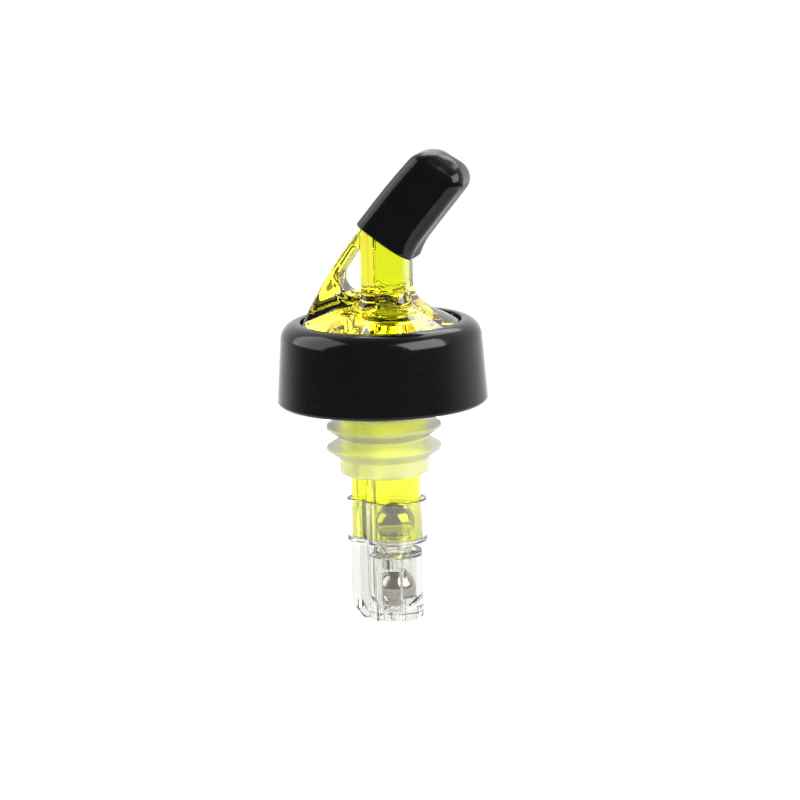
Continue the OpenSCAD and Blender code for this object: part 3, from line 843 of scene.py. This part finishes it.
# Soft black vinyl: satin, with a slow unevenness from dipping and a fine skin texture.
cap_lump_size = 3.5 * mm
cap_grain_size = 0.35 * mm
cap_vinyl, cap_tree = blank_material("black_dipped_vinyl")
cap_place = add_node(cap_tree, "ShaderNodeTexCoord", {})
cap_lump = add_node(cap_tree, "ShaderNodeTexNoise", {
    "Vector": cap_place.outputs["Object"], "Scale": 1 / cap_lump_size, "Detail": 2.0})
cap_grain = add_node(cap_tree, "ShaderNodeTexNoise", {
    "Vector": cap_place.outputs["Object"], "Scale": 1 / cap_grain_size, "Detail": 3.0})
cap_rough = add_node(cap_tree, "ShaderNodeMapRange", {
    "Value": cap_grain.outputs["Fac"], "From Min": 0.3, "From Max": 0.7, "To Min": 0.14, "To Max": 0.22})
cap_lump_bump = add_node(cap_tree, "ShaderNodeBump", {
    "Height": cap_lump.outputs["Fac"], "Strength": 1.0, "Distance": 0.08 * mm})
cap_bump = add_node(cap_tree, "ShaderNodeBump", {
    "Height": cap_grain.outputs["Fac"], "Strength": 0.3, "Distance": 0.01 * mm,
    "Normal": cap_lump_bump.outputs["Normal"]})
cap_skin = add_node(cap_tree, "ShaderNodeBsdfPrincipled", {
    "Base Color": linear("060606"), "Roughness": cap_rough.outputs["Result"], "IOR": 1.32,
    "Normal": cap_bump.outputs["Normal"]})
add_node(cap_tree, "ShaderNodeOutputMaterial", {"Surface": cap_skin.outputs["BSDF"]})
finish_piece(cap, cap_vinyl, "cap_vinyl", "cap", "spout_cap")


# Floor: a round sheet of pale paper just under the object, lit from below like a light table.
# Its glow is turned down near the object, a painted shade, so that the clear cage stands out against it.
floor_r = 0.2
floor_drop = 0.1 * mm
shade_full_within = 80 * mm
shade_fades_by = 140 * mm
bpy.ops.object.select_all(action="DESELECT")
bpy.ops.mesh.primitive_circle_add(
    vertices=96, radius=floor_r, fill_type="NGON", location=(0, 0, cad_low.z - floor_drop))
bpy.ops.object.transform_apply(location=True)
floor = bpy.context.object
floor.name = "studio_floor"
paper, paper_tree = blank_material("white_paper")
paper_place = add_node(paper_tree, "ShaderNodeTexCoord", {})
paper_way = add_node(paper_tree, "ShaderNodeVectorMath", {
    0: paper_place.outputs["Object"]}, operation="LENGTH")
# painted shade: the paper's glow is lowest near the object and only reaches full strength further out
paper_glow_and_painted_shade = add_node(paper_tree, "ShaderNodeMapRange", {
    "Value": paper_way.outputs["Value"], "From Min": shade_full_within, "From Max": shade_fades_by,
    "To Min": 0.9, "To Max": 1.9})
paper_skin = add_node(paper_tree, "ShaderNodeBsdfPrincipled", {
    "Base Color": linear("606060"), "Roughness": 0.9, "Specular IOR Level": 0.0,
    "Emission Color": linear("FFFFFF"), "Emission Strength": paper_glow_and_painted_shade.outputs["Result"]})
add_node(paper_tree, "ShaderNodeOutputMaterial", {"Surface": paper_skin.outputs["BSDF"]})
floor.data.materials.append(paper)


# Studio: white all round, darker below and on the side where the viewer stands, so that black and clear
# pieces get their edges, with a soft box on either side and one behind, above.
def soft_box(name, place, size, power):
    """A square light that faces the object."""
    lamp = bpy.data.lights.new(name, "AREA")
    lamp.shape = "SQUARE"
    lamp.size = size
    lamp.energy = power
    holder = bpy.data.objects.new(name, lamp)
    holder.location = place
    holder.rotation_euler = Vector(place).to_track_quat("Z", "Y").to_euler()
    bpy.context.scene.collection.objects.link(holder)


soft_box("left_box", (-0.57, -0.1, 0.36), 0.7, 4.8)
soft_box("right_box", (0.56, -0.2, 0.38), 0.6, 9)
soft_box("top_box", (0.05, 0.45, 0.6), 0.5, 3.2)

studio = bpy.data.worlds.new("studio")
studio.use_nodes = True
studio_tree = studio.node_tree
studio_tree.nodes.clear()
studio_place = add_node(studio_tree, "ShaderNodeTexCoord", {})
studio_way = add_node(studio_tree, "ShaderNodeSeparateXYZ", {"Vector": studio_place.outputs["Generated"]})
studio_back = add_node(studio_tree, "ShaderNodeMapRange", {
    "Value": studio_way.outputs["Y"], "From Min": -0.3, "From Max": 0.7, "To Min": 0.22, "To Max": 1.1},
    interpolation_type="SMOOTHSTEP")
studio_ground = add_node(studio_tree, "ShaderNodeMapRange", {
    "Value": studio_way.outputs["Z"], "From Min": -0.28, "From Max": -0.2, "To Min": 0.3, "To Max": 1.0})
studio_level = add_node(studio_tree, "ShaderNodeMath", {
    0: studio_back.outputs["Result"], 1: studio_ground.outputs["Result"]}, operation="MULTIPLY")
studio_sky = add_node(studio_tree, "ShaderNodeBackground", {
    "Color": linear("FFFFFF"), "Strength": studio_level.outputs["Value"]})
studio_white = add_node(studio_tree, "ShaderNodeBackground", {"Color": linear("FFFFFF"), "Strength": 1.0})
studio_path = add_node(studio_tree, "ShaderNodeLightPath", {})
studio_mix = add_node(studio_tree, "ShaderNodeMixShader", {
    "Fac": studio_path.outputs["Is Camera Ray"],
    1: studio_sky.outputs["Background"], 2: studio_white.outputs["Background"]})
add_node(studio_tree, "ShaderNodeOutputWorld", {"Surface": studio_mix.outputs["Shader"]})
bpy.context.scene.world = studio
bpy.context.scene.view_settings.view_transform = "Standard"


# Camera: a long lens a little above the collar, turned towards the spout's side, and tipped slightly.
# The frame's origin falls on its pixel of the photograph, at the photograph's scale.
view_azimuth = math.radians(15)
view_height = math.radians(10.35)
view_roll = math.radians(1.62)
view_distance = 0.7
pixels_per_mm = 5.01
picture_side = 800
origin_pixel = (381.4, 344.1)

level_back = Vector((math.sin(view_azimuth), -math.cos(view_azimuth), 0))
back = level_back * math.cos(view_height) + Vector((0, 0, math.sin(view_height)))
upright = Vector((0, 0, 1)) - back * back.z
right = upright.cross(back).normalized()
up = back.cross(right)
right, up = (right * math.cos(view_roll) - up * math.sin(view_roll),
             up * math.cos(view_roll) + right * math.sin(view_roll))
place = back * view_distance
shift_x, shift_y = ((picture_side / 2 - pixel) * mm / pixels_per_mm for pixel in origin_pixel)
look = (place - right * shift_x + up * shift_y).normalized()
right = up.cross(look).normalized()
up = look.cross(right)
lens = bpy.data.cameras.new("camera")
lens.sensor_width = 36
lens.lens = lens.sensor_width * pixels_per_mm * view_distance / mm / picture_side
camera = bpy.data.objects.new("camera", lens)
camera.matrix_world = Matrix.Translation(place) @ Matrix((right, up, look)).transposed().to_4x4()
bpy.context.scene.collection.objects.link(camera)
bpy.context.scene.camera = camera
